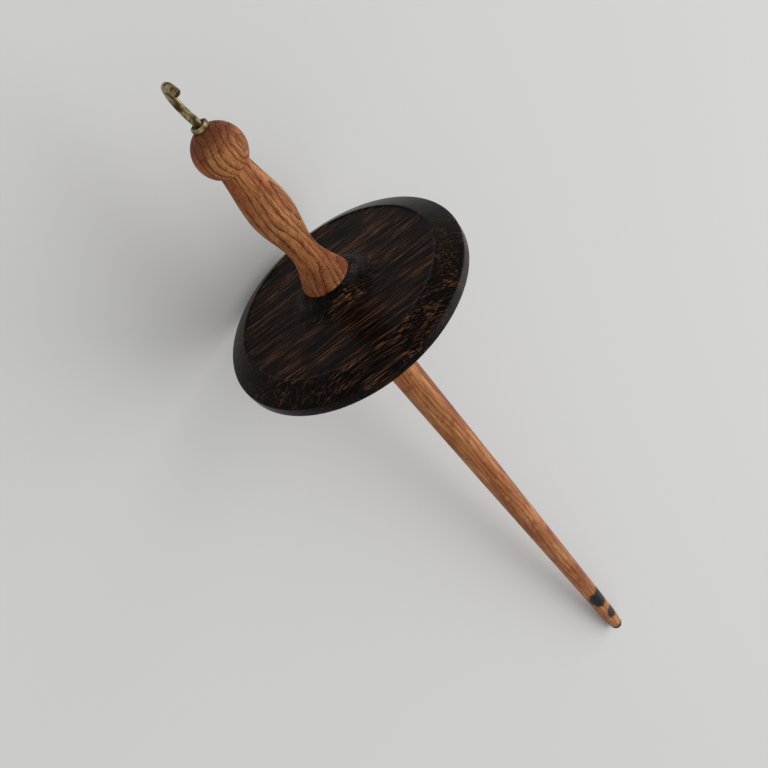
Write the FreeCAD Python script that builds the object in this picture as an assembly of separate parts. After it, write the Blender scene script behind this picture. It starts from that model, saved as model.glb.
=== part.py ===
import FreeCAD
import Part
import math
import os

# Hand spindle of the top-whorl kind, in millimetres, lying at rest on a table.
# Every piece is made upright on the spindle's own axis, with the shaft's tip at height 0 and the
# hook on top. The spindle is then leaned over until its tip and its whorl both touch the table.
# A height is measured along that axis, a radius square to it, and a slope is the change of
# radius for each millimetre of height.

# Whorl, a disc of dark wood turned with a bevelled rim, a raised lip and a coved boss
WHORL_RADIUS = 35.0
RIM_HEIGHT = 3.3
BEVEL_RISE = 3.3
LIP_RADIUS = 28.7
LIP_WALL_RUN = 0.5
FACE_RECESS = 0.4
BOSS_RISE = 4.65
BOSS_SLOPE_DEG = 69.0
BOSS_LEDGE = 0.3
UNDER_EDGE_CUT = 0.6
RIM_EDGE_CUT = 0.35

# Shaft below the whorl
SHAFT_BELOW_WHORL = 232.8
SEAT_RADIUS = 4.5
SEAT_BELOW_WHORL = 10.0
TAPER_TOP_HEIGHT = 144.0
TAPER_TOP_RADIUS = 4.27
NOSE_HEIGHT = 16.0
NOSE_RADIUS = 3.25
TIP_RADIUS = 2.65

# Handle above the whorl, heights counted from the foot's underside
FOOT_RADIUS = 6.6
FOOT_LAND = 0.45
FOOT_SLOPE = -0.36
WAIST_RADIUS = 3.65
WAIST_HEIGHT = 10.2
BULGE_RADIUS = 5.6
BULGE_HEIGHT = 23.6
NECK_RADIUS = 4.0
NECK_SLOPE = -0.075
BALL_RADIUS = 6.35
BALL_HEIGHT = 42.25

# Screw hook of brass wire, heights counted from the collar's top
WIRE_RADIUS = 1.0
STEM_RISE = 0.05
KINK_RADIUS = 1.5
KINK_DEG = 57.0
STRAIGHT_RUN = 0.8
LOOP_RADIUS = 4.5
LOOP_END_DEG = 51.0
WIRE_END_LENGTH = 0.5
SCREW_LENGTH = 12.0
POINT_LENGTH = 3.0

# Pressed collar that stops the hook on the ball
COLLAR_RADIUS = 2.1
COLLAR_HEIGHT = 1.1
COLLAR_EDGE_CUT = 0.2
COLLAR_LIP_CUT = 0.1
COLLAR_DISH = 0.35
COLLAR_DISH_RADIUS = 1.65
COLLAR_SEAT_RADIUS = 1.3

# Fits, each on the radius or the length
WHORL_FIT = 0.04
SCREW_FIT = 0.03
COLLAR_FIT = 0.02

# How the whorl's grain and the hook's opening are turned about the axis, from the side that lies down
WHORL_GRAIN_DEG = 58.6
HOOK_TURN_DEG = 166.0

UP = FreeCAD.Vector(0, 0, 1)
CENTRE = FreeCAD.Vector(0, 0, 0)

# Heights that more than one piece shares
whorl_under = SHAFT_BELOW_WHORL
rim_top = whorl_under + RIM_HEIGHT
lip_top = rim_top + BEVEL_RISE
face_level = lip_top - FACE_RECESS
boss_top = face_level + BOSS_RISE
ball_centre = boss_top + BALL_HEIGHT
collar_seat = ball_centre + math.sqrt(BALL_RADIUS**2 - COLLAR_SEAT_RADIUS**2)
collar_top = collar_seat + COLLAR_HEIGHT


def at(radius, height):
    """Point of an outline, on the side where the radius is positive."""
    return FreeCAD.Vector(radius, 0, height)


def line(start, end):
    return Part.LineSegment(start, end).toShape()


def arc(centre, radius, start_deg, end_deg):
    """Arc in the outline's plane, with angles counted upwards from the radius direction."""
    def on_arc(degrees):
        angle = math.radians(degrees)
        return centre + at(radius * math.cos(angle), radius * math.sin(angle))

    middle_deg = (start_deg + end_deg) / 2
    return Part.Arc(on_arc(start_deg), on_arc(middle_deg), on_arc(end_deg)).toShape()


def swell(start, start_slope, end, end_slope):
    """One smooth curve between two stations of a turned outline, with the slope at each."""
    third = (end.z - start.z) / 3
    curve = Part.BezierCurve()
    curve.setPoles([start, start + at(start_slope * third, third), end - at(end_slope * third, third), end])
    return curve.toShape()


def cut_corner(before, corner, after, cut):
    """Two points where a corner of an outline is cut back along both of its sides."""
    back = (before - corner).normalize()
    ahead = (after - corner).normalize()
    return [corner + back * cut, corner + ahead * cut]


def lines(points):
    """Straight edges through the points of an outline, one after another."""
    return [line(start, end) for start, end in zip(points, points[1:])]


def turned(edges):
    """Solid of a closed outline turned once about the spindle's axis."""
    face = Part.Face(Part.Wire(edges))
    return Part.Solid(face.revolve(CENTRE, UP, 360))


def make_shaft():
    """Shaft and handle, turned from one length of oak, with the hook's pilot hole in its head."""
    nose = at(NOSE_RADIUS, NOSE_HEIGHT)
    tip_slope = (NOSE_RADIUS - TIP_RADIUS) / (NOSE_HEIGHT - TIP_RADIUS)
    tip_edge = arc(at(0, TIP_RADIUS), TIP_RADIUS, -90, -math.degrees(math.atan(tip_slope)))
    tip_end = tip_edge.Vertexes[1].Point
    taper_top = at(TAPER_TOP_RADIUS, TAPER_TOP_HEIGHT)
    seat_bottom = at(SEAT_RADIUS, whorl_under - SEAT_BELOW_WHORL)
    seat_top = at(SEAT_RADIUS, boss_top)
    foot = at(FOOT_RADIUS, boss_top)
    foot_top = at(FOOT_RADIUS, boss_top + FOOT_LAND)
    waist = at(WAIST_RADIUS, boss_top + WAIST_HEIGHT)
    bulge = at(BULGE_RADIUS, boss_top + BULGE_HEIGHT)
    neck_deg = -math.degrees(math.acos(NECK_RADIUS / BALL_RADIUS))
    crown_deg = math.degrees(math.acos(COLLAR_SEAT_RADIUS / BALL_RADIUS))
    ball = arc(at(0, ball_centre), BALL_RADIUS, neck_deg, crown_deg)
    neck = ball.Vertexes[0].Point
    crown = ball.Vertexes[1].Point
    pilot_radius = WIRE_RADIUS + SCREW_FIT
    screw_bottom = collar_seat - SCREW_LENGTH - SCREW_FIT
    hole_mouth = at(pilot_radius, collar_seat)
    hole_wall_end = at(pilot_radius, screw_bottom + POINT_LENGTH)
    hole_bottom = at(0, screw_bottom)
    return turned([
        tip_edge,
        *lines([tip_end, nose, taper_top, seat_bottom, seat_top, foot, foot_top]),
        swell(foot_top, FOOT_SLOPE, waist, 0),
        swell(waist, 0, bulge, 0),
        swell(bulge, 0, neck, NECK_SLOPE),
        ball,
        *lines([crown, hole_mouth, hole_wall_end, hole_bottom, at(0, 0)]),
    ])


def make_whorl():
    """Whorl: flat under, a bevel from rim to lip, a sunk face and a cove up to the boss."""
    bore_radius = SEAT_RADIUS + WHORL_FIT
    boss_radius = FOOT_RADIUS + BOSS_LEDGE
    boss_slope = math.radians(BOSS_SLOPE_DEG)
    bore_bottom = at(bore_radius, whorl_under)
    bore_top = at(bore_radius, boss_top)
    rim_bottom = at(WHORL_RADIUS, whorl_under)
    rim_edge = at(WHORL_RADIUS, rim_top)
    lip = at(LIP_RADIUS, lip_top)
    face_edge = at(LIP_RADIUS - LIP_WALL_RUN, face_level)
    boss_edge = at(boss_radius, boss_top)
    cove_corner = at(boss_radius + BOSS_RISE / math.tan(boss_slope), face_level)
    cove_foot = cove_corner + at(BOSS_RISE / math.sin(boss_slope), 0)
    cove = Part.BezierCurve()
    cove.setPoles([cove_foot, cove_corner, boss_edge])
    whorl = turned([
        *lines([
            bore_bottom,
            *cut_corner(bore_bottom, rim_bottom, rim_edge, UNDER_EDGE_CUT),
            *cut_corner(rim_bottom, rim_edge, lip, RIM_EDGE_CUT),
            lip,
            face_edge,
            cove_foot,
        ]),
        cove.toShape(),
        *lines([boss_edge, bore_top, bore_bottom]),
    ])
    whorl.rotate(CENTRE, UP, WHORL_GRAIN_DEG)
    return whorl


def make_collar():
    """Brass collar with its edge turned over and its top dished round the hook's stem."""
    hole_radius = WIRE_RADIUS + COLLAR_FIT
    hole_bottom = at(hole_radius, collar_seat)
    under_edge = at(COLLAR_RADIUS, collar_seat)
    top_edge = at(COLLAR_RADIUS, collar_top)
    dish_edge = at(COLLAR_DISH_RADIUS, collar_top)
    dish_bottom = at(COLLAR_DISH_RADIUS - COLLAR_DISH, collar_top - COLLAR_DISH)
    hole_top = at(hole_radius, collar_top - COLLAR_DISH)
    return turned(lines([
        hole_bottom,
        under_edge,
        *cut_corner(under_edge, top_edge, dish_edge, COLLAR_EDGE_CUT),
        *cut_corner(top_edge, dish_edge, dish_bottom, COLLAR_LIP_CUT),
        dish_bottom,
        hole_top,
        hole_bottom,
    ]))


def make_hook():
    """Screw hook: pointed shank, stem, a kink to the back and an open loop over the axis."""
    kink = math.radians(KINK_DEG)
    loop_end_angle = math.radians(LOOP_END_DEG)
    point = at(0, collar_seat - SCREW_LENGTH)
    shank_bottom = point + at(0, POINT_LENGTH)
    stem_top = at(0, collar_top + STEM_RISE)
    kink_bend = arc(stem_top - at(KINK_RADIUS, 0), KINK_RADIUS, 0, KINK_DEG)
    run_start = kink_bend.Vertexes[1].Point
    run_end = run_start + at(-math.sin(kink), math.cos(kink)) * STRAIGHT_RUN
    loop_centre = run_end + at(math.cos(kink), math.sin(kink)) * LOOP_RADIUS
    loop = arc(loop_centre, LOOP_RADIUS, 180 + KINK_DEG, LOOP_END_DEG)
    loop_end = loop.Vertexes[1].Point
    onward = at(math.sin(loop_end_angle), -math.cos(loop_end_angle))
    path = Part.Wire([
        line(shank_bottom, stem_top),
        kink_bend,
        line(run_start, run_end),
        loop,
        line(loop_end, loop_end + onward * WIRE_END_LENGTH),
    ])
    section = Part.Wire(Part.Circle(shank_bottom, UP, WIRE_RADIUS).toShape())
    wire = path.makePipeShell([section], True)
    screw_point = Part.makeCone(0, WIRE_RADIUS, POINT_LENGTH, point, UP)
    hook = wire.fuse(screw_point).removeSplitter()
    hook.rotate(CENTRE, UP, HOOK_TURN_DEG)
    return hook.Solids[0], loop_centre


def lean_angle():
    """Angle between the axis and the table when the tip and the whorl's rim touch it."""
    rim_height = whorl_under + UNDER_EDGE_CUT - TIP_RADIUS
    spread = math.hypot(WHORL_RADIUS, rim_height)
    return math.atan2(WHORL_RADIUS, rim_height) - math.asin(TIP_RADIUS / spread)


def laid_down(pieces, loop_centre):
    """Lean the upright pieces over, set them on the table and centre their box on the origin."""
    lean = lean_angle()
    turn = math.radians(HOOK_TURN_DEG)
    lift = TIP_RADIUS - TIP_RADIUS * math.sin(lean)
    tip_end = TIP_RADIUS * math.cos(lean) - TIP_RADIUS
    loop_out = math.cos(turn) * math.sin(lean)
    loop_end = loop_centre.z * math.cos(lean) + loop_centre.x * loop_out
    loop_end += LOOP_RADIUS * math.hypot(math.cos(lean), loop_out) + WIRE_RADIUS
    shift = FreeCAD.Vector(-(tip_end + loop_end) / 2, 0, lift)
    placed = {}
    for name, piece in pieces.items():
        piece.rotate(CENTRE, FreeCAD.Vector(0, 1, 0), 90 - math.degrees(lean))
        piece.translate(shift)
        placed[name] = piece
    return placed, lean, shift


hook, loop_centre = make_hook()
spindle, lean, shift = laid_down({
    "shaft": make_shaft(),
    "whorl": make_whorl(),
    "hook": hook,
    "hook_collar": make_collar(),
}, loop_centre)

os.makedirs("parts", exist_ok=True)
for name, piece in spindle.items():
    piece.exportStep(os.path.join("parts", name + ".step"))
    print(name, "valid", piece.isValid(), "volume", round(piece.Volume, 1))
print("lean", round(math.degrees(lean), 3), "shift", shift)
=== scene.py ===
"""A hand spindle lying on a table: a turned oak shaft, a dark turned whorl and an aged brass cup hook.

Its pieces are made upright in millimetres, with the tip at the origin and Z up the axis, and are then
laid down where the spindle rests, in metres.
"""

import logging
import math
from dataclasses import dataclass, field
from enum import Enum
from typing import Any, Optional, Union

import bmesh
import bpy
from mathutils import Matrix, Vector
from mathutils.geometry import interpolate_bezier


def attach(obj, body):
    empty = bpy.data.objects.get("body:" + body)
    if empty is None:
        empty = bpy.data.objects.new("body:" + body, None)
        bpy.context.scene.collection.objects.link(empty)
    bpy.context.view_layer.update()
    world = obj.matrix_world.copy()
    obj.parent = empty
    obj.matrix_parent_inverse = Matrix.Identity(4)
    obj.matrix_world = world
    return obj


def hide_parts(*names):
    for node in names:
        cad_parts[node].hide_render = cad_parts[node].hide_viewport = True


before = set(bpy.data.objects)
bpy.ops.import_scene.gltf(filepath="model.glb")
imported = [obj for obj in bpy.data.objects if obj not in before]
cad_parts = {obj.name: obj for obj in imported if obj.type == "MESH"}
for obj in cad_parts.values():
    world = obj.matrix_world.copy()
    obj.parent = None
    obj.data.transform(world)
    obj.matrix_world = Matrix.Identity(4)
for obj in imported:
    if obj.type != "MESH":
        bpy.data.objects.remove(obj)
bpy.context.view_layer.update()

log = logging.getLogger("spindle")

MM = 0.001
FULL_TURN = 2 * math.pi

# Edges that turn further than this stay sharp in the shading
SHARP_ANGLE = math.radians(38)
# Vertices this near to each other, in millimetres, are one, and an edge this short is dropped
SAME_PLACE = 1e-5
NO_LENGTH = 1e-6
# How many edges draw a rounded corner of an outline
CORNER_STEPS = 8

# Numbers of the Mix node's colour inputs and of its colour output, since three of each share a name
MIX_A, MIX_B, MIX_OUT = 6, 7, 2

Tree = bpy.types.NodeTree
Socket = bpy.types.NodeSocket
Link = Union[Socket, float, tuple]
Triple = tuple[float, float, float]


def linear(hex_colour: str) -> tuple[float, float, float, float]:
    """An sRGB hex value such as "9a6640" as linear red, green, blue and an alpha of 1."""
    channels = [int(hex_colour[i:i + 2], 16) / 255 for i in (0, 2, 4)]
    return (*[c / 12.92 if c <= 0.04045 else ((c + 0.055) / 1.055) ** 2.4 for c in channels], 1.0)


def add_node(
    tree: Tree,
    kind: str,
    links: Optional[dict[Union[str, int], Link]] = None,
    out: Union[str, int] = 0,
    **settings: Any,
) -> Socket:
    """Adds one shader node to a tree.

    Args:
        tree: the node tree.
        kind: Blender's name of the node, after "ShaderNode".
        links: for each input, by name or number, the socket it is fed from or the value it holds.
        out: name or number of the output that is wanted.
        settings: the node's own properties.

    Returns:
        The wanted output.
    """
    node = tree.nodes.new("ShaderNode" + kind)
    for name, value in settings.items():
        setattr(node, name, value)
    for place, source in (links or {}).items():
        if isinstance(source, Socket):
            tree.links.new(source, node.inputs[place])
        else:
            node.inputs[place].default_value = source
    return node.outputs[out]


def new_finish(name: str) -> tuple[bpy.types.Material, Tree, bpy.types.Node]:
    """Starts a material.

    Args:
        name: what the real material is and how it was made.

    Returns:
        The bare material, its node tree and its Principled shader.
    """
    material = bpy.data.materials.new(name)
    material.use_nodes = True
    return material, material.node_tree, material.node_tree.nodes["Principled BSDF"]


@dataclass(frozen=True)
class Resting:
    """How the spindle lies: on its tip and on the whorl's under edge, with its axis rising to the hook.

    In the spindle's own frame Z runs up the axis from the tip, X points to the side that lies down,
    and lengths are millimetres.
    """

    lean_deg: float = 7.97427
    tip_x: float = -150.5844
    tip_z: float = 2.2824

    @property
    def tilt(self) -> float:
        """Turn about Y that lays the upright spindle down, in radians."""
        return math.radians(90 - self.lean_deg)

    @property
    def tip(self) -> Vector:
        """Where the tip's end stands in the row frame, in metres."""
        return Vector((self.tip_x, 0, self.tip_z)) * MM

    def matrix(self) -> Matrix:
        """The move from the spindle's own frame in millimetres to the row frame in metres."""
        return Matrix.Translation(self.tip) @ Matrix.Rotation(self.tilt, 4, "Y") @ Matrix.Scale(MM, 4)

    def direction(self, way: Vector) -> Triple:
        """A direction of the spindle's own frame, as a unit vector in the row frame."""
        return tuple(self.matrix().to_3x3() @ way / MM)

    def coordinates(self, tree: Tree) -> Socket:
        """Gives a shader its place in the spindle's own frame, from Object coordinates.

        Args:
            tree: the node tree.

        Returns:
            The place in millimetres.
        """
        turn = {"Location": tuple(self.tip), "Rotation": (0, self.tilt, 0), "Scale": (MM, MM, MM)}
        row_place = add_node(tree, "TexCoord", out="Object")
        return add_node(tree, "Mapping", {"Vector": row_place, **turn}, vector_type="TEXTURE")


RESTING = Resting()


@dataclass(frozen=True)
class Patches:
    """Irregular patches, such as clouds, flecks or streaks.

    The cell is the size of one along each axis in millimetres. Noise below the level clear gives 0,
    and noise above the level full gives 1. Detail counts its finer layers, and roughness is their share.
    """

    cell: Triple
    clear: float = 0.0
    full: float = 1.0
    detail: float = 3.0
    roughness: float = 0.55

    def mask(self, tree: Tree, place: Socket) -> Socket:
        """Builds the patches.

        Args:
            tree: the node tree.
            place: coordinates in millimetres.

        Returns:
            The mask, from 0 between the patches to 1 on them.
        """
        cells = add_node(tree, "Mapping", {"Vector": place, "Scale": self.cell}, vector_type="TEXTURE")
        layers = {"Scale": 1.0, "Detail": self.detail, "Roughness": self.roughness}
        noise = add_node(tree, "TexNoise", {"Vector": cells, **layers}, "Fac")
        return add_node(tree, "MapRange", {"Value": noise, "From Min": self.clear, "From Max": self.full})


@dataclass(frozen=True)
class OpenGrain:
    """How a wood's open grain takes the light: rougher than the smooth wood, and sunk by a depth in millimetres."""

    smooth: float
    rough: float
    relief: float
    depth: float

    def cut(self, tree: Tree, shader: bpy.types.Node, lines: Socket) -> None:
        """Dulls and sinks a wood's surface where its grain is open.

        Args:
            tree: the node tree.
            shader: the wood's Principled shader.
            lines: the mask of the open grain.
        """
        dullness = add_node(tree, "MapRange", {"Value": lines, "To Min": self.smooth, "To Max": self.rough})
        tree.links.new(dullness, shader.inputs["Roughness"])
        sunk = {"Height": lines, "Strength": self.relief, "Distance": self.depth * MM}
        tree.links.new(add_node(tree, "Bump", sunk, invert=True), shader.inputs["Normal"])


@dataclass(frozen=True)
class Scorch:
    """A burnt mark on the shaft: where it lies along it and round it, its colour, and how ragged its edge is."""

    height: float
    half_length: float
    facing_deg: float
    half_width_deg: float
    colour: str

    # The edge is found by the distance from the middle, counted in half lengths and half widths, with
    # a share of the patches added: the mark has ended outside and is whole inside
    ragged: Patches = Patches((1.3, 1.3, 1.6))
    raggedness: float = 0.7
    outside: float = 1.45
    inside: float = 1.15

    def mask(self, tree: Tree, place: Socket) -> Socket:
        """Builds the mark's mask.

        Args:
            tree: the node tree.
            place: the spindle's coordinates in millimetres.

        Returns:
            1 inside the mark and 0 outside it, with a ragged soft edge.
        """
        ragged = self.ragged.mask(tree, place)
        centre = {"Rotation": (0, 0, math.radians(self.facing_deg)), "Location": (0, 0, self.height)}
        turned = add_node(tree, "Mapping", {"Vector": place, **centre}, vector_type="TEXTURE")
        axes = {name: add_node(tree, "SeparateXYZ", {0: turned}, name) for name in "XYZ"}
        girth = add_node(tree, "Math", {0: axes["Y"], 1: axes["X"]}, operation="ARCTAN2")
        ends = add_node(tree, "Math", {0: axes["Z"], 1: 1 / self.half_length}, operation="MULTIPLY")
        sides = add_node(tree, "Math", {0: girth, 1: 1 / math.radians(self.half_width_deg)}, operation="MULTIPLY")
        spot = add_node(tree, "CombineXYZ", {"X": ends, "Y": sides})
        reach = add_node(tree, "VectorMath", {0: spot}, "Value", operation="LENGTH")
        edge = add_node(tree, "Math", {0: ragged, 1: self.raggedness, 2: reach}, operation="MULTIPLY_ADD")
        return add_node(tree, "MapRange", {"Value": edge, "From Min": self.outside, "From Max": self.inside})


@dataclass(frozen=True)
class TurnedOak:
    """Oak, turned, sanded and oiled. It gives the eye golden wood, russet clouds, dark lines and a satin sheen.

    The lines are the rows of open pores that start each year's ring. Oil and use have filled many of
    them on the shaft, and have darkened the foot and the waist, where fingers hold the handle, and
    above all the end grain of the ball. That end grain, on the ball's top towards the hook and away
    from the lamp, is darker still with painted shade.
    """

    golden: str = "c78955"
    russet: str = "883b14"
    ring: str = "5e2609"
    pore: str = "34160a"
    # crown: the ball's end grain darkened by oil, with painted shade on its top, away from the lamp
    crown: str = "6c3722"

    # How much of its colour each pattern lays on where it is strongest
    cloud_strength: float = 0.7
    spot_strength: float = 0.55
    fibre_strength: float = 0.5
    early_strength: float = 0.45
    ray_strength: float = 0.5
    held_strength: float = 0.3
    end_grain_and_shade_strength: float = 0.85
    pore_strength: float = 0.96

    # Rings of slow-grown oak, round a pith that lies outside the turned piece. Lengths are millimetres,
    # and shares of a ring are counted outwards from its first wood. A noise with about this many steps
    # in a year makes the row of pores faint in some years and strong in others.
    ring_width: float = 1.55
    flat_face_deg: float = 228.0
    pith_distance: float = 27.6
    early_wood: float = 0.55
    pore_row: tuple[float, float] = (0.03, 0.16)
    steps_in_a_year: float = 0.9
    strong_years: tuple[float, float] = (0.24, 0.5)
    wave_height: float = 9.0
    wave: Patches = Patches((9.0, 9.0, 90.0), detail=2.0)
    jitter_height: float = 0.25
    jitter: Patches = Patches((0.8, 0.8, 14.0), detail=2.0)

    # Pores 0.2 mm wide, which the surface cuts into lines as long as it lies along them
    row_breaks: Patches = Patches((0.8, 0.8, 8.0), 0.38, 0.54)
    pores: Patches = Patches((0.2, 0.2, 4.2), 0.51, 0.565)
    vessels: Patches = Patches((0.2, 0.2, 14.0), 0.65, 0.69, 2.0)
    late_pores: float = 0.3
    filled_pores: float = 0.4
    open_grain: OpenGrain = OpenGrain(smooth=0.46, rough=0.75, relief=0.6, depth=0.08)

    # Colour that runs with the fibres, and the short flecks of the rays
    clouds: Patches = Patches((5.0, 5.0, 30.0), 0.4, 0.62)
    spots: Patches = Patches((2.6, 2.6, 5.0), 0.52, 0.68)
    fibres: Patches = Patches((0.3, 0.3, 8.0), 0.38, 0.66)
    rays: Patches = Patches((2.6, 0.4, 3.2), 0.6, 0.68)

    # How squarely the surface cuts the fibres, facing the hook, where the darker end grain with its painted
    # shade starts and where it is whole, and how much of that the patches on its edge make up
    end_grain_and_shade_cut: tuple[float, float] = (0.55, 1.1)
    end_grain_and_shade_edge: Patches = Patches((3.0, 3.0, 2.5))
    end_grain_and_shade_raggedness: float = 0.7

    # Heights above the tip between which the shaft becomes the handle, and those where the hold ends
    handle_start: tuple[float, float] = (226.0, 242.0)
    hold_end: tuple[float, float] = (253.0, 262.0)

    gloss: float = 0.12

    # A broad band, a smaller spot below it, and the tip's end, burnt all round
    marks: tuple[Scorch, ...] = (
        Scorch(35.0, 7.0, 190.0, 104.0, "0b0d11"),
        Scorch(18.0, 4.8, 198.0, 54.0, "2c1f14"),
        Scorch(0.0, 4.6, 190.0, 900.0, "3f2813"),
    )

    def material(self) -> bpy.types.Material:
        """Builds the material.

        Returns:
            The oak, with its rings, pores, clouds, burnt marks, and darker end grain with painted shade on the ball's
            top.
        """
        material, tree, shader = new_finish("turned_oiled_oak")
        place = RESTING.coordinates(tree)
        from_pith = self.from_pith(tree, place)
        years = self.years(tree, place, from_pith)
        phase = add_node(tree, "Math", {0: years}, operation="FRACT")
        early = add_node(tree, "MapRange", {"Value": phase, "From Max": self.early_wood, "To Min": 1, "To Max": 0})
        height = add_node(tree, "SeparateXYZ", {0: place}, "Z")
        start, whole = self.handle_start
        handle = add_node(tree, "MapRange", {"Value": height, "From Min": start, "From Max": whole})
        lines = self.pore_lines(tree, place, years, phase, early)
        open_share = add_node(tree, "MapRange", {"Value": handle, "To Min": self.filled_pores})
        lines = add_node(tree, "Math", {0: lines, 1: open_share}, operation="MULTIPLY")
        layers = [
            (self.clouds.mask(tree, place), self.cloud_strength, self.russet),
            (self.spots.mask(tree, place), self.spot_strength, self.russet),
            (self.fibres.mask(tree, place), self.fibre_strength, self.ring),
            (early, self.early_strength, self.ring),
            (self.rays.mask(tree, from_pith), self.ray_strength, self.ring),
            (self.held(tree, height, handle), self.held_strength, self.russet),
            # The ball's top: end grain darkened by oil, and painted shade on its side away from the lamp
            (self.end_grain_and_shade(tree, place), self.end_grain_and_shade_strength, self.crown),
            (lines, self.pore_strength, self.pore),
            *[(mark.mask(tree, place), 1.0, mark.colour) for mark in self.marks],
        ]
        colour: Link = linear(self.golden)
        for mask, strength, layer in layers:
            share = add_node(tree, "Math", {0: mask, 1: strength}, operation="MULTIPLY")
            blend = {0: share, MIX_A: colour, MIX_B: linear(layer)}
            colour = add_node(tree, "Mix", blend, MIX_OUT, data_type="RGBA")
        tree.links.new(colour, shader.inputs["Base Color"])
        shader.inputs["Specular IOR Level"].default_value = self.gloss
        self.open_grain.cut(tree, shader, lines)
        return material

    def from_pith(self, tree: Tree, place: Socket) -> Socket:
        """Counts places from the tree's pith.

        Args:
            tree: the node tree.
            place: the spindle's coordinates in millimetres.

        Returns:
            Coordinates with their Z axis in the pith and X towards the face that the rings lie flat on.
        """
        facing = math.radians(self.flat_face_deg)
        pith = (-self.pith_distance * math.cos(facing), -self.pith_distance * math.sin(facing), 0)
        turn = {"Location": pith, "Rotation": (0, 0, facing)}
        return add_node(tree, "Mapping", {"Vector": place, **turn}, vector_type="TEXTURE")

    def years(self, tree: Tree, place: Socket, from_pith: Socket) -> Socket:
        """Counts the rings, which wander along the wood and are each a little uneven.

        Args:
            tree: the node tree.
            place: the spindle's coordinates in millimetres.
            from_pith: coordinates counted from the pith.

        Returns:
            How many years each place lies from the pith.
        """
        across = add_node(tree, "VectorMath", {0: from_pith, 1: (1, 1, 0)}, operation="MULTIPLY")
        distance = add_node(tree, "VectorMath", {0: across}, "Value", operation="LENGTH")
        for unevenness, size in ((self.wave, self.wave_height), (self.jitter, self.jitter_height)):
            shift = {0: unevenness.mask(tree, place), 1: size, 2: distance}
            distance = add_node(tree, "Math", shift, operation="MULTIPLY_ADD")
        return add_node(tree, "Math", {0: distance, 1: self.ring_width}, operation="DIVIDE")

    def pore_lines(self, tree: Tree, place: Socket, years: Socket, phase: Socket, early: Socket) -> Socket:
        """Cuts the pores open: each year's first row, the scattered ones in its early wood, and a few long vessels.

        Args:
            tree: the node tree.
            place: the spindle's coordinates in millimetres.
            years: how many years each place lies from the pith.
            phase: how far into its year each place lies.
            early: 1 in a year's first wood, down to 0 where its late wood starts.

        Returns:
            The mask of the open pores.
        """
        start, end = self.pore_row
        fall = {"From Min": start, "From Max": end, "To Min": 1, "To Max": 0}
        row = add_node(tree, "MapRange", {"Value": phase, **fall})
        steps = {"W": years, "Scale": self.steps_in_a_year, "Detail": 0.0}
        year = add_node(tree, "TexNoise", steps, "Fac", noise_dimensions="1D")
        faint, strong = self.strong_years
        strength = add_node(tree, "MapRange", {"Value": year, "From Min": faint, "From Max": strong})
        row = add_node(tree, "Math", {0: row, 1: self.row_breaks.mask(tree, place)}, operation="MULTIPLY")
        row = add_node(tree, "Math", {0: row, 1: strength}, operation="MULTIPLY")
        crowding = add_node(tree, "MapRange", {"Value": early, "To Min": self.late_pores})
        scattered = add_node(tree, "Math", {0: self.pores.mask(tree, place), 1: crowding}, operation="MULTIPLY")
        lines = add_node(tree, "Math", {0: row, 1: scattered}, operation="MAXIMUM")
        return add_node(tree, "Math", {0: lines, 1: self.vessels.mask(tree, place)}, operation="MAXIMUM")

    def held(self, tree: Tree, height: Socket, handle: Socket) -> Socket:
        """Finds the part of the handle that fingers hold and have darkened.

        Args:
            tree: the node tree.
            height: height above the tip in millimetres.
            handle: 0 on the shaft, up to 1 on the handle.

        Returns:
            1 on the foot and the waist, down to 0 on the shaft and towards the ball.
        """
        start, end = self.hold_end
        fall = {"From Min": start, "From Max": end, "To Min": 1, "To Max": 0}
        low = add_node(tree, "MapRange", {"Value": height, **fall})
        return add_node(tree, "Math", {0: handle, 1: low}, operation="MULTIPLY")

    def end_grain_and_shade(self, tree: Tree, place: Socket) -> Socket:
        """Finds the wood that drank the most oil, where the surface cuts across the fibres facing the hook, and
        paints shade there too: the ball's top, on its side away from the lamp.

        Args:
            tree: the node tree.
            place: the spindle's coordinates in millimetres.

        Returns:
            0 on wood that lies along the fibres, up to 1 on end grain facing the hook, for its oil and its painted
            shade, with an uneven edge.
        """
        normal = add_node(tree, "NewGeometry", out="Normal")
        fibres = RESTING.direction(Vector((0, 0, 1)))
        across = add_node(tree, "VectorMath", {0: normal, 1: fibres}, "Value", operation="DOT_PRODUCT")
        shift = {0: self.end_grain_and_shade_edge.mask(tree, place), 1: self.end_grain_and_shade_raggedness, 2: across}
        edge = add_node(tree, "Math", shift, operation="MULTIPLY_ADD")
        start, whole = self.end_grain_and_shade_cut
        return add_node(tree, "MapRange", {"Value": edge, "From Min": start, "From Max": whole})


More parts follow.
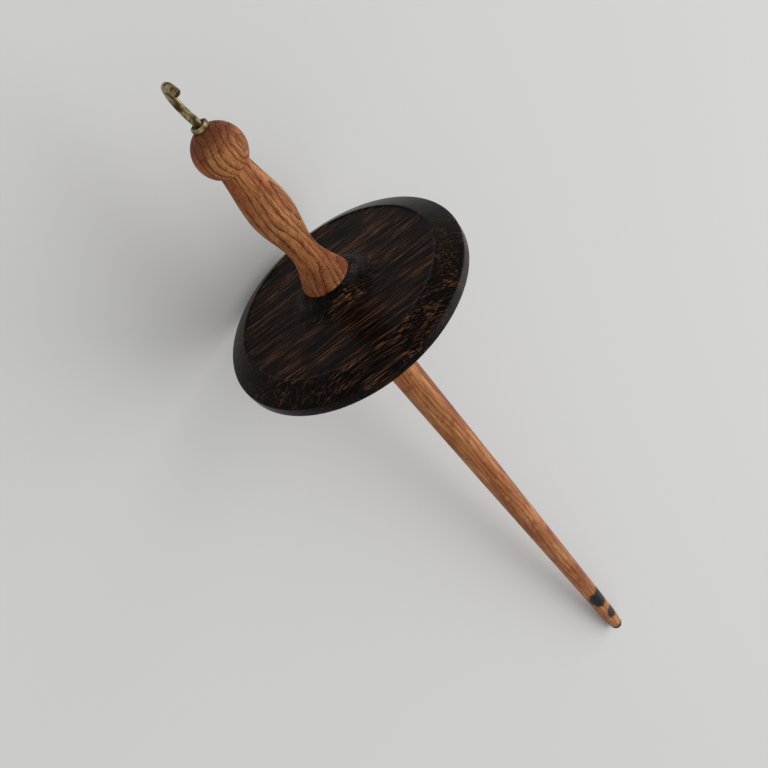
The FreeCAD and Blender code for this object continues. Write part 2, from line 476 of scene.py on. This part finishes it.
@dataclass(frozen=True)
class TurnedWenge:
    """Wenge, turned and waxed. It gives the eye near-black wood with fine brown streaks and a low sheen.

    The streaks are layers of soft tissue 0.25 mm thick. They run as long lines on the flat faces and
    end as flecks on the bevel and the rim, which cut them.
    """

    heart: str = "030202"
    dark: str = "0c0807"
    dull: str = "543628"
    bright: str = "956244"
    grain_deg: float = 59.0
    bands: Patches = Patches((20.0, 2.0, 2.6), 0.41, 0.60, 2.0)
    streaks: Patches = Patches((14.0, 0.25, 0.42), 0.535, 0.585)
    fibres: Patches = Patches((5.0, 0.18, 0.3), 0.4, 0.56, 2.0)
    tone: Patches = Patches((12.0, 5.0, 5.0), 0.35, 0.65, 2.0)
    between_bands: float = 0.2
    between_fibres: float = 0.25

    # How squarely the surface cuts the fibres where wax starts to dull the streaks and where it has
    # done so, on the bevel, and where they start to show again as ends and do, on the rim
    bevel: tuple[float, float] = (0.12, 0.46)
    rim: tuple[float, float] = (0.55, 0.85)
    waxed: float = 0.35

    gloss: float = 0.05
    open_grain: OpenGrain = OpenGrain(smooth=0.27, rough=0.45, relief=0.4, depth=0.04)

    def material(self) -> bpy.types.Material:
        """Builds the material.

        Returns:
            The dark wood, with its streaks laid along the grain.
        """
        material, tree, shader = new_finish("turned_waxed_wenge")
        place = RESTING.coordinates(tree)
        turn = {"Rotation": (0, 0, math.radians(self.grain_deg))}
        along = add_node(tree, "Mapping", {"Vector": place, **turn}, vector_type="TEXTURE")
        fibres = self.fibres.mask(tree, along)
        streaks = self.streaks.mask(tree, along)
        for mask, least in ((self.bands.mask(tree, along), self.between_bands), (fibres, self.between_fibres)):
            share = add_node(tree, "MapRange", {"Value": mask, "To Min": least})
            streaks = add_node(tree, "Math", {0: streaks, 1: share}, operation="MULTIPLY")
        streaks = add_node(tree, "Math", {0: streaks, 1: self.shown(tree)}, operation="MULTIPLY")
        streak = {0: self.tone.mask(tree, along), MIX_A: linear(self.dull), MIX_B: linear(self.bright)}
        brown = add_node(tree, "Mix", streak, MIX_OUT, data_type="RGBA")
        ground = {0: fibres, MIX_A: linear(self.heart), MIX_B: linear(self.dark)}
        black = add_node(tree, "Mix", ground, MIX_OUT, data_type="RGBA")
        colour = add_node(tree, "Mix", {0: streaks, MIX_A: black, MIX_B: brown}, MIX_OUT, data_type="RGBA")
        tree.links.new(colour, shader.inputs["Base Color"])
        shader.inputs["Specular IOR Level"].default_value = self.gloss
        self.open_grain.cut(tree, shader, streaks)
        return material

    def shown(self, tree: Tree) -> Socket:
        """Finds how light the streaks stay: whole along the fibres, and dulled by wax where the bevel cuts them.

        Args:
            tree: the node tree.

        Returns:
            The share of their colour that the streaks keep.
        """
        turn = math.radians(self.grain_deg)
        fibres = RESTING.direction(Vector((math.cos(turn), math.sin(turn), 0)))
        normal = add_node(tree, "NewGeometry", out="Normal")
        across = add_node(tree, "VectorMath", {0: normal, 1: fibres}, "Value", operation="DOT_PRODUCT")
        steep = add_node(tree, "Math", {0: across}, operation="ABSOLUTE")
        cut, dulled = self.bevel
        fall = {"From Min": cut, "From Max": dulled, "To Min": 1, "To Max": self.waxed}
        bevel = add_node(tree, "MapRange", {"Value": steep, **fall})
        hidden, whole = self.rim
        rim = add_node(tree, "MapRange", {"Value": steep, "From Min": hidden, "From Max": whole})
        return add_node(tree, "Math", {0: bevel, 1: rim}, operation="MAXIMUM")


class BrassForm(Enum):
    """How a brass piece was made."""

    WIRE = "drawn"
    SHEET = "pressed"


@dataclass(frozen=True)
class AgedBrass:
    """Brass, drawn or pressed, and aged. It gives the eye an olive skin, rubbed bright in patches of 1.4 mm."""

    form: BrassForm
    bright: str = "ad9a72"
    tarnish: str = "4c3f2a"
    skin: Patches = Patches((1.4, 1.4, 2.8), 0.38, 0.58)
    rubbed_roughness: float = 0.3
    skin_roughness: float = 0.5

    def material(self) -> bpy.types.Material:
        """Builds the material.

        Returns:
            The brass, drawn or pressed by its form.
        """
        material, tree, shader = new_finish(f"{self.form.value}_aged_brass")
        skin = self.skin.mask(tree, RESTING.coordinates(tree))
        blend = {0: skin, MIX_A: linear(self.bright), MIX_B: linear(self.tarnish)}
        colour = add_node(tree, "Mix", blend, MIX_OUT, data_type="RGBA")
        tree.links.new(colour, shader.inputs["Base Color"])
        shader.inputs["Metallic"].default_value = 1.0
        sheen = {"Value": skin, "To Min": self.rubbed_roughness, "To Max": self.skin_roughness}
        tree.links.new(add_node(tree, "MapRange", sheen), shader.inputs["Roughness"])
        return material


def close_seams(mesh: bmesh.types.BMesh) -> None:
    """Merges a mesh's doubles, drops what they leave with no area, and points its faces outwards.

    Args:
        mesh: the piece, in millimetres.
    """
    bmesh.ops.remove_doubles(mesh, verts=mesh.verts[:], dist=SAME_PLACE)
    bmesh.ops.dissolve_degenerate(mesh, edges=mesh.edges[:], dist=NO_LENGTH)
    bmesh.ops.recalc_face_normals(mesh, faces=mesh.faces[:])


def finished(mesh: bmesh.types.BMesh, name: str, node: str, finish: bpy.types.Material) -> bpy.types.Object:
    """Lays an upright piece down where the spindle rests and puts it in its node's place.

    Args:
        mesh: the piece in the spindle's own frame.
        name: the new piece's name.
        node: the CAD node it stands for.
        finish: its material.

    Returns:
        The new object, riding on the one body.
    """
    bmesh.ops.transform(mesh, matrix=RESTING.matrix(), verts=mesh.verts[:])
    for face in mesh.faces:
        face.smooth = True
    data = bpy.data.meshes.new(name)
    mesh.to_mesh(data)
    mesh.free()
    data.set_sharp_from_angle(angle=SHARP_ANGLE)
    data.materials.append(finish)
    piece = bpy.data.objects.new(name, data)
    bpy.context.scene.collection.objects.link(piece)
    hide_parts(node)
    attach(piece, "root")
    return piece


class Turning:
    """Outline of a turned piece, drawn as a pen draws it: radius outwards, height up the axis."""

    def __init__(self, radius: float, height: float) -> None:
        """Starts the outline at a radius and a height."""
        self.points: list[Vector] = [Vector((radius, 0, height))]

    def line(self, radius: float, height: float) -> "Turning":
        """Draws a straight line to a radius and a height."""
        self.points.append(Vector((radius, 0, height)))
        return self

    def curve(self, start_pull: Vector, end_pull: Vector, end: Vector, steps: int) -> "Turning":
        """Draws a smooth curve.

        Args:
            start_pull: the handle that the curve leaves towards.
            end_pull: the handle that it arrives from.
            end: where it ends.
            steps: how many edges draw it.

        Returns:
            The outline.
        """
        start = self.points[-1]
        self.points += interpolate_bezier(start, start_pull, end_pull, end, steps + 1)[1:]
        return self

    def swell(self, start_slope: float, radius: float, height: float, end_slope: float, steps: int = 24) -> "Turning":
        """Draws a smooth curve whose slopes are given, as a turner blends one swelling into the next.

        Args:
            start_slope: change of radius for each millimetre of height where it starts.
            radius: radius where it ends.
            height: height where it ends.
            end_slope: change of radius for each millimetre of height where it ends.
            steps: how many edges draw it.

        Returns:
            The outline.
        """
        start = self.points[-1]
        end = Vector((radius, 0, height))
        third = (end.z - start.z) / 3
        start_pull = start + Vector((start_slope * third, 0, third))
        end_pull = end - Vector((end_slope * third, 0, third))
        return self.curve(start_pull, end_pull, end, steps)

    def arc(self, centre: Vector, radius: float, start_deg: float, end_deg: float, steps: int = 16) -> "Turning":
        """Draws an arc.

        Args:
            centre: its centre.
            radius: its radius.
            start_deg: its first angle, counted upwards from the radius direction.
            end_deg: its last angle.
            steps: how many edges draw it.

        Returns:
            The outline.
        """
        for step in range(1, steps + 1):
            angle = math.radians(start_deg + (end_deg - start_deg) * step / steps)
            self.points.append(centre + Vector((radius * math.cos(angle), 0, radius * math.sin(angle))))
        return self

    def corner(self, radius: float, height: float, rounding: float, onward: tuple[float, float]) -> "Turning":
        """Draws to a corner and rounds it with a tangent arc.

        Args:
            radius: radius of the corner.
            height: height of the corner.
            rounding: radius of the arc.
            onward: radius and height that the outline goes on to.

        Returns:
            The outline.
        """
        here = Vector((radius, 0, height))
        back = (self.points[-1] - here).normalized()
        ahead = (Vector((onward[0], 0, onward[1])) - here).normalized()
        half_angle = back.angle(ahead) / 2
        reach = rounding / math.tan(half_angle)
        # A curve with handles this long follows the arc
        pull = rounding * 4 / 3 * math.tan((math.pi / 2 - half_angle) / 2)
        start, end = here + back * reach, here + ahead * reach
        self.points.append(start)
        return self.curve(start - back * pull, end - ahead * pull, end, CORNER_STEPS)

    def turned(self, facets: int) -> bmesh.types.BMesh:
        """Sweeps the closed outline in one full turn about the axis.

        Args:
            facets: how many faces go round.

        Returns:
            The turned solid.
        """
        mesh = bmesh.new()
        places = [mesh.verts.new(point) for point in self.points]
        rim = [mesh.edges.new(pair) for pair in zip(places, places[1:] + places[:1])]
        axis = {"cent": (0, 0, 0), "axis": (0, 0, 1), "angle": FULL_TURN}
        bmesh.ops.spin(mesh, geom=places + rim, steps=facets, use_merge=True, **axis)
        close_seams(mesh)
        return mesh


@dataclass
class Whorl:
    """The disc of dark wood: a rim, a bevel up to a thin lip, a sunk face and a cove up to a boss."""

    under: float = 232.8
    radius: float = 35.0
    rim_height: float = 3.3
    bevel_rise: float = 3.3
    lip_radius: float = 28.7
    lip_wall_run: float = 0.5
    face_recess: float = 0.4
    boss_rise: float = 4.65
    boss_slope_deg: float = 69.0
    boss_radius: float = 6.9
    bore_radius: float = 4.54
    under_round: float = 0.65
    rim_round: float = 0.6
    lip_round: float = 0.35
    face_round: float = 1.1
    cove_steps: int = 28
    facets: int = 192

    @property
    def boss_top(self) -> float:
        """Height of the boss's flat top, where the handle's foot stands."""
        return self.under + self.rim_height + self.bevel_rise - self.face_recess + self.boss_rise

    def build(self, finish: bpy.types.Material) -> bpy.types.Object:
        """Turns the whorl and dresses it.

        Args:
            finish: its material.

        Returns:
            The whorl.
        """
        slope = math.radians(self.boss_slope_deg)
        rim_top = self.under + self.rim_height
        lip_top = rim_top + self.bevel_rise
        face = lip_top - self.face_recess
        lip_foot = self.lip_radius - self.lip_wall_run
        cove_corner = Vector((self.boss_radius + self.boss_rise / math.tan(slope), 0, face))
        cove_start = cove_corner + Vector((self.boss_rise / math.sin(slope), 0, 0))
        cove_end = Vector((self.boss_radius, 0, self.boss_top))
        outline = Turning(self.bore_radius, self.under)
        outline.corner(self.radius, self.under, self.under_round, (self.radius, rim_top))
        outline.corner(self.radius, rim_top, self.rim_round, (self.lip_radius, lip_top))
        outline.corner(self.lip_radius, lip_top, self.lip_round, (lip_foot, face))
        outline.corner(lip_foot, face, self.face_round, (cove_corner.x, face))
        outline.line(cove_start.x, face)
        # Handles two thirds of the way to the corner make the cove a parabola, tangent to face and boss
        pulls = [end.lerp(cove_corner, 2 / 3) for end in (cove_start, cove_end)]
        outline.curve(*pulls, cove_end, self.cove_steps)
        outline.line(self.bore_radius, self.boss_top)
        return finished(outline.turned(self.facets), "turned_whorl", "whorl", finish)


@dataclass
class Shaft:
    """The shaft and its handle, turned from one length of oak.

    A pair is a radius and a height, and a slope is the change of radius for each millimetre of height.
    The nose is counted from the tip, and the waist, bulge and ball from the handle's foot.
    """

    foot_at: float
    tip_radius: float = 2.65
    tip_slope: float = 0.045
    nose: tuple[float, float] = (3.25, 16.0)
    nose_slope: float = 0.008
    seat_radius: float = 4.5
    seat_start: float = 222.8
    foot_radius: float = 6.6
    foot_land: float = 0.45
    foot_slope: float = -0.36
    waist: tuple[float, float] = (3.65, 10.2)
    bulge: tuple[float, float] = (5.6, 23.6)
    neck_radius: float = 4.0
    neck_slope: float = -0.075
    ball_radius: float = 6.35
    ball_height: float = 42.25
    crown_radius: float = 1.3
    pilot_radius: float = 1.03
    pilot_depth: float = 12.03
    pilot_point: float = 3.0
    taper_steps: int = 48
    ball_steps: int = 40
    facets: int = 96

    @property
    def crown(self) -> float:
        """Height of the small flat on the ball, where the hook's collar sits."""
        return self.foot_at + self.ball_height + math.sqrt(self.ball_radius**2 - self.crown_radius**2)

    def build(self, finish: bpy.types.Material) -> bpy.types.Object:
        """Turns the shaft and dresses it.

        Args:
            finish: its material.

        Returns:
            The shaft.
        """
        tip_deg = -math.degrees(math.atan(self.tip_slope))
        neck_deg = -math.degrees(math.acos(self.neck_radius / self.ball_radius))
        crown_deg = math.degrees(math.acos(self.crown_radius / self.ball_radius))
        ball = Vector((0, 0, self.foot_at + self.ball_height))
        neck_at = ball.z + self.ball_radius * math.sin(math.radians(neck_deg))
        outline = Turning(0, 0)
        outline.arc(Vector((0, 0, self.tip_radius)), self.tip_radius, -90, tip_deg)
        outline.swell(self.tip_slope, *self.nose, self.nose_slope)
        outline.swell(self.nose_slope, self.seat_radius, self.seat_start, 0, self.taper_steps)
        outline.line(self.seat_radius, self.foot_at)
        outline.line(self.foot_radius, self.foot_at)
        outline.line(self.foot_radius, self.foot_at + self.foot_land)
        outline.swell(self.foot_slope, self.waist[0], self.foot_at + self.waist[1], 0)
        outline.swell(0, self.bulge[0], self.foot_at + self.bulge[1], 0)
        outline.swell(0, self.neck_radius, neck_at, self.neck_slope)
        outline.arc(ball, self.ball_radius, neck_deg, crown_deg, self.ball_steps)
        outline.line(self.pilot_radius, self.crown)
        outline.line(self.pilot_radius, self.crown - self.pilot_depth + self.pilot_point)
        outline.line(0, self.crown - self.pilot_depth)
        return finished(outline.turned(self.facets), "turned_shaft", "shaft", finish)


@dataclass
class CupHook:
    """The small screw hook in the ball: a bent brass wire and its pressed collar."""

    # Height of the flat that the collar sits on
    seat: float

    # The collar, dished on top and bored for the wire
    collar_radius: float = 2.1
    collar_height: float = 1.1
    collar_dish: float = 0.35
    collar_dish_radius: float = 1.65
    collar_fit: float = 0.02
    collar_under_round: float = 0.1
    collar_top_round: float = 0.25
    collar_dish_round: float = 0.12
    collar_facets: int = 64

    # The wire, from its screw in the ball to its open end, with bends counted to the wire's middle
    wire_radius: float = 1.0
    screw_length: float = 12.0
    point_length: float = 3.0
    stem_rise: float = 0.05
    kink_radius: float = 1.5
    kink_deg: float = 57.0
    straight_run: float = 0.8
    loop_radius: float = 4.5
    loop_end_deg: float = 51.0
    end_length: float = 0.5
    end_round: float = 0.4

    # The way that the loop faces when the spindle has come to rest
    turn_deg: float = 166.0

    wire_facets: int = 32
    kink_steps: int = 12
    loop_steps: int = 56
    end_steps: int = 4

    def build_collar(self, finish: bpy.types.Material) -> bpy.types.Object:
        """Turns the collar and dresses it.

        Args:
            finish: its material.

        Returns:
            The collar.
        """
        top = self.seat + self.collar_height
        hole = self.wire_radius + self.collar_fit
        dish_foot = (self.collar_dish_radius - self.collar_dish, top - self.collar_dish)
        outline = Turning(hole, self.seat)
        outline.corner(self.collar_radius, self.seat, self.collar_under_round, (self.collar_radius, top))
        outline.corner(self.collar_radius, top, self.collar_top_round, (self.collar_dish_radius, top))
        outline.corner(self.collar_dish_radius, top, self.collar_dish_round, dish_foot)
        outline.line(*dish_foot)
        outline.line(hole, dish_foot[1])
        return finished(outline.turned(self.collar_facets), "hook_flange", "hook_collar", finish)

    def build_wire(self, finish: bpy.types.Material) -> bpy.types.Object:
        """Draws the wire up from its point, bends it round its kink and its loop, and dresses it.

        Args:
            finish: its material.

        Returns:
            The hook.
        """
        mesh = bmesh.new()
        stem_top = self.seat + self.collar_height + self.stem_rise
        bottom = self.seat - self.screw_length
        edges = self.point(mesh, bottom)
        edges = self.run(mesh, edges, Vector((0, 0, stem_top - bottom - self.point_length)))
        kink = math.radians(self.kink_deg)
        kink_centre = Vector((-self.kink_radius, 0, stem_top))
        edges = self.bend(mesh, edges, kink_centre, kink, self.kink_steps)
        straight = Vector((-math.sin(kink), 0, math.cos(kink))) * self.straight_run
        outward = Vector((math.cos(kink), 0, math.sin(kink)))
        edges = self.run(mesh, edges, straight)
        loop_centre = kink_centre + outward * (self.kink_radius + self.loop_radius) + straight
        loop = -math.radians(180 + self.kink_deg - self.loop_end_deg)
        edges = self.bend(mesh, edges, loop_centre, loop, self.loop_steps)
        end_angle = math.radians(self.loop_end_deg)
        edges = self.run(mesh, edges, Vector((math.sin(end_angle), 0, -math.cos(end_angle))) * self.end_length)
        bmesh.ops.contextual_create(mesh, geom=edges)
        rounding = {"offset": self.end_round, "segments": self.end_steps, "profile": 0.5}
        bmesh.ops.bevel(mesh, geom=edges, affect="EDGES", material=-1, **rounding)
        close_seams(mesh)
        bmesh.ops.rotate(mesh, verts=mesh.verts[:], matrix=Matrix.Rotation(math.radians(self.turn_deg), 3, "Z"))
        return finished(mesh, "bent_hook_wire", "hook", finish)

    def point(self, mesh: bmesh.types.BMesh, bottom: float) -> list[bmesh.types.BMEdge]:
        """Makes the screw's point.

        Args:
            mesh: the empty mesh of the wire.
            bottom: height of the point's end.

        Returns:
            The wire's open end above the point.
        """
        start = Matrix.Translation((0, 0, bottom + self.point_length))
        ring = bmesh.ops.create_circle(mesh, segments=self.wire_facets, radius=self.wire_radius, matrix=start)["verts"]
        edges = list({edge for vert in ring for edge in vert.link_edges})
        made = bmesh.ops.extrude_edge_only(mesh, edges=edges)["geom"]
        cone = [part for part in made if isinstance(part, bmesh.types.BMVert)]
        bmesh.ops.translate(mesh, verts=cone, vec=(0, 0, -self.point_length))
        bmesh.ops.pointmerge(mesh, verts=cone, merge_co=(0, 0, bottom))
        return [edge for edge in mesh.edges if edge.is_boundary]

    @staticmethod
    def run(mesh: bmesh.types.BMesh, edges: list[bmesh.types.BMEdge], way: Vector) -> list[bmesh.types.BMEdge]:
        """Draws the wire on in a straight line.

        Args:
            mesh: the wire.
            edges: its open end.
            way: how far it goes on.

        Returns:
            Its new open end.
        """
        made = bmesh.ops.extrude_edge_only(mesh, edges=edges)["geom"]
        bmesh.ops.translate(mesh, verts=[part for part in made if isinstance(part, bmesh.types.BMVert)], vec=way)
        return [part for part in made if isinstance(part, bmesh.types.BMEdge)]

    @staticmethod
    def bend(
        mesh: bmesh.types.BMesh, edges: list[bmesh.types.BMEdge], centre: Vector, angle: float, steps: int
    ) -> list[bmesh.types.BMEdge]:
        """Bends the wire on in the plane of its axis.

        Args:
            mesh: the wire.
            edges: its open end.
            centre: the middle of the bend.
            angle: how far it bends, in radians, and back on itself where it is negative.
            steps: how many rings of faces draw it.

        Returns:
            Its new open end.
        """
        places = list({vert for edge in edges for vert in edge.verts})
        arc = {"cent": centre, "axis": (0, -1, 0), "angle": angle}
        made = bmesh.ops.spin(mesh, geom=edges + places, steps=steps, use_merge=False, **arc)["geom_last"]
        return [part for part in made if isinstance(part, bmesh.types.BMEdge)]


@dataclass
class Studio:
    """The table, the soft light and the camera. Lengths are metres, apart from the lens and its sensor.

    The table is painted wood, which gives the eye an even, pale and matt ground.
    """

    table_colour: str = "cccccb"
    table_size: float = 6.0
    table_roughness: float = 0.7
    camera_place: Vector = field(default_factory=lambda: Vector((0.179682, 0.070335, 0.205974)))
    camera_right: Vector = field(default_factory=lambda: Vector((-0.586369, -0.529510, 0.613017)))
    camera_up: Vector = field(default_factory=lambda: Vector((0.583785, -0.800879, -0.133372)))
    lens_mm: float = 37.5
    sensor_mm: float = 36.0
    key_from: Vector = field(default_factory=lambda: Vector((-1.6, -3.6, 2.75)))
    key_size: float = 8.0
    key_watts: float = 305.0
    sky_colour: str = "ffffff"
    sky_strength: float = 0.6

    def build_table(self) -> bpy.types.Object:
        """Lays the table top under the spindle.

        Returns:
            The table top.
        """
        mesh = bmesh.new()
        bmesh.ops.create_grid(mesh, x_segments=1, y_segments=1, size=self.table_size / 2)
        data = bpy.data.meshes.new("table_top")
        mesh.to_mesh(data)
        mesh.free()
        material, _, shader = new_finish("painted_table")
        shader.inputs["Base Color"].default_value = linear(self.table_colour)
        shader.inputs["Roughness"].default_value = self.table_roughness
        data.materials.append(material)
        table = bpy.data.objects.new("table_top", data)
        bpy.context.scene.collection.objects.link(table)
        return table

    def build_light(self) -> None:
        """Sets the sky's even light and one large soft lamp."""
        world = bpy.data.worlds.new("even_light")
        bpy.context.scene.world = world
        world.use_nodes = True
        sky = world.node_tree.nodes["Background"]
        sky.inputs["Color"].default_value = linear(self.sky_colour)
        sky.inputs["Strength"].default_value = self.sky_strength
        lamp = bpy.data.lights.new("soft_lamp", "AREA")
        lamp.shape = "SQUARE"
        lamp.size = self.key_size
        lamp.energy = self.key_watts
        key = bpy.data.objects.new("soft_lamp", lamp)
        key.location = self.key_from
        key.rotation_mode = "QUATERNION"
        key.rotation_quaternion = (-self.key_from).to_track_quat("-Z", "Y")
        bpy.context.scene.collection.objects.link(key)

    def build_camera(self) -> None:
        """Stands the camera where the photograph was taken from."""
        data = bpy.data.cameras.new("camera")
        data.sensor_width = self.sensor_mm
        data.lens = self.lens_mm
        camera = bpy.data.objects.new("camera", data)
        back = self.camera_right.cross(self.camera_up)
        turn = Matrix((self.camera_right, self.camera_up, back)).transposed()
        camera.matrix_world = Matrix.Translation(self.camera_place) @ turn.to_4x4()
        bpy.context.scene.collection.objects.link(camera)
        bpy.context.scene.camera = camera


def main() -> None:
    """Builds the spindle's pieces and the table in order and reports them, then sets the light and the camera."""
    logging.basicConfig(level=logging.INFO, format="%(name)s: %(message)s")
    bpy.context.scene.view_settings.view_transform = "Standard"
    whorl = Whorl()
    shaft = Shaft(foot_at=whorl.boss_top)
    hook = CupHook(seat=shaft.crown)
    studio = Studio()
    pieces = [
        whorl.build(TurnedWenge().material()),
        shaft.build(TurnedOak().material()),
        hook.build_wire(AgedBrass(BrassForm.WIRE).material()),
        hook.build_collar(AgedBrass(BrassForm.SHEET).material()),
        studio.build_table(),
    ]
    for piece in pieces:
        log.info("%s: %d faces, in %s", piece.name, len(piece.data.polygons), piece.data.materials[0].name)
    studio.build_light()
    studio.build_camera()


if __name__ == "__main__":
    main()
